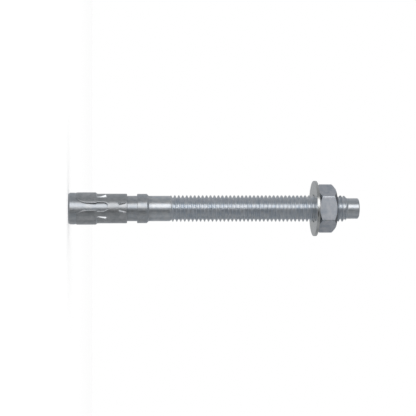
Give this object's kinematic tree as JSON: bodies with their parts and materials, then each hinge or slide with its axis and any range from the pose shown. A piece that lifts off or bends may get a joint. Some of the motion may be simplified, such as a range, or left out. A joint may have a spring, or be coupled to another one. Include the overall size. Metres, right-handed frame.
{
  "type": "wedge anchor",
  "caption": "Steel wedge anchor: a threaded rod with an expander cone and a slotted expansion clip at one end, and a washer and hex nut at the other.",
  "frame": {"origin": "centre of the cone's flat end face, on the bolt's axis", "axes": "+Z along the bolt towards the nut and the dog point; -Y towards the side that the clip's slot faces"},
  "size_m": [0.021, 0.021, 0.11],
  "materials": {
    "bolt_zinc": "cold-formed steel, bright zinc plating",
    "clip_zinc": "rolled sheet steel, bright zinc plating",
    "washer_zinc": "stamped steel, bright zinc plating",
    "nut_zinc": "forged steel, matt zinc plating"
  },
  "bodies": {
    "bolt": {"anchor_bolt": "bolt_zinc"},
    "clip": {"expansion_clip": "clip_zinc"},
    "washer": {"washer": "washer_zinc"},
    "nut": {"hex_nut": "nut_zinc"}
  },
  "joints": [
    {"name": "clip_slide", "type": "slide", "parent": "bolt", "child": "clip", "axis": [0, 0, 1], "range_m": [0, 0.0037]},
    {"name": "nut_travel", "type": "slide", "parent": "bolt", "child": "washer", "axis": [0, 0, 1], "range_m": [-0.05401, 0.00901]},
    {"name": "nut_turn", "type": "hinge", "parent": "washer", "child": "nut", "pos_m": [0, 0, 0.0937], "axis": [0, 0, 1], "range_deg": [-12960, 2160]}
  ],
  "couplings": [
    {"joint": "nut_travel", "follows": "nut_turn", "m_per_rad": 0.00023873}
  ]
}
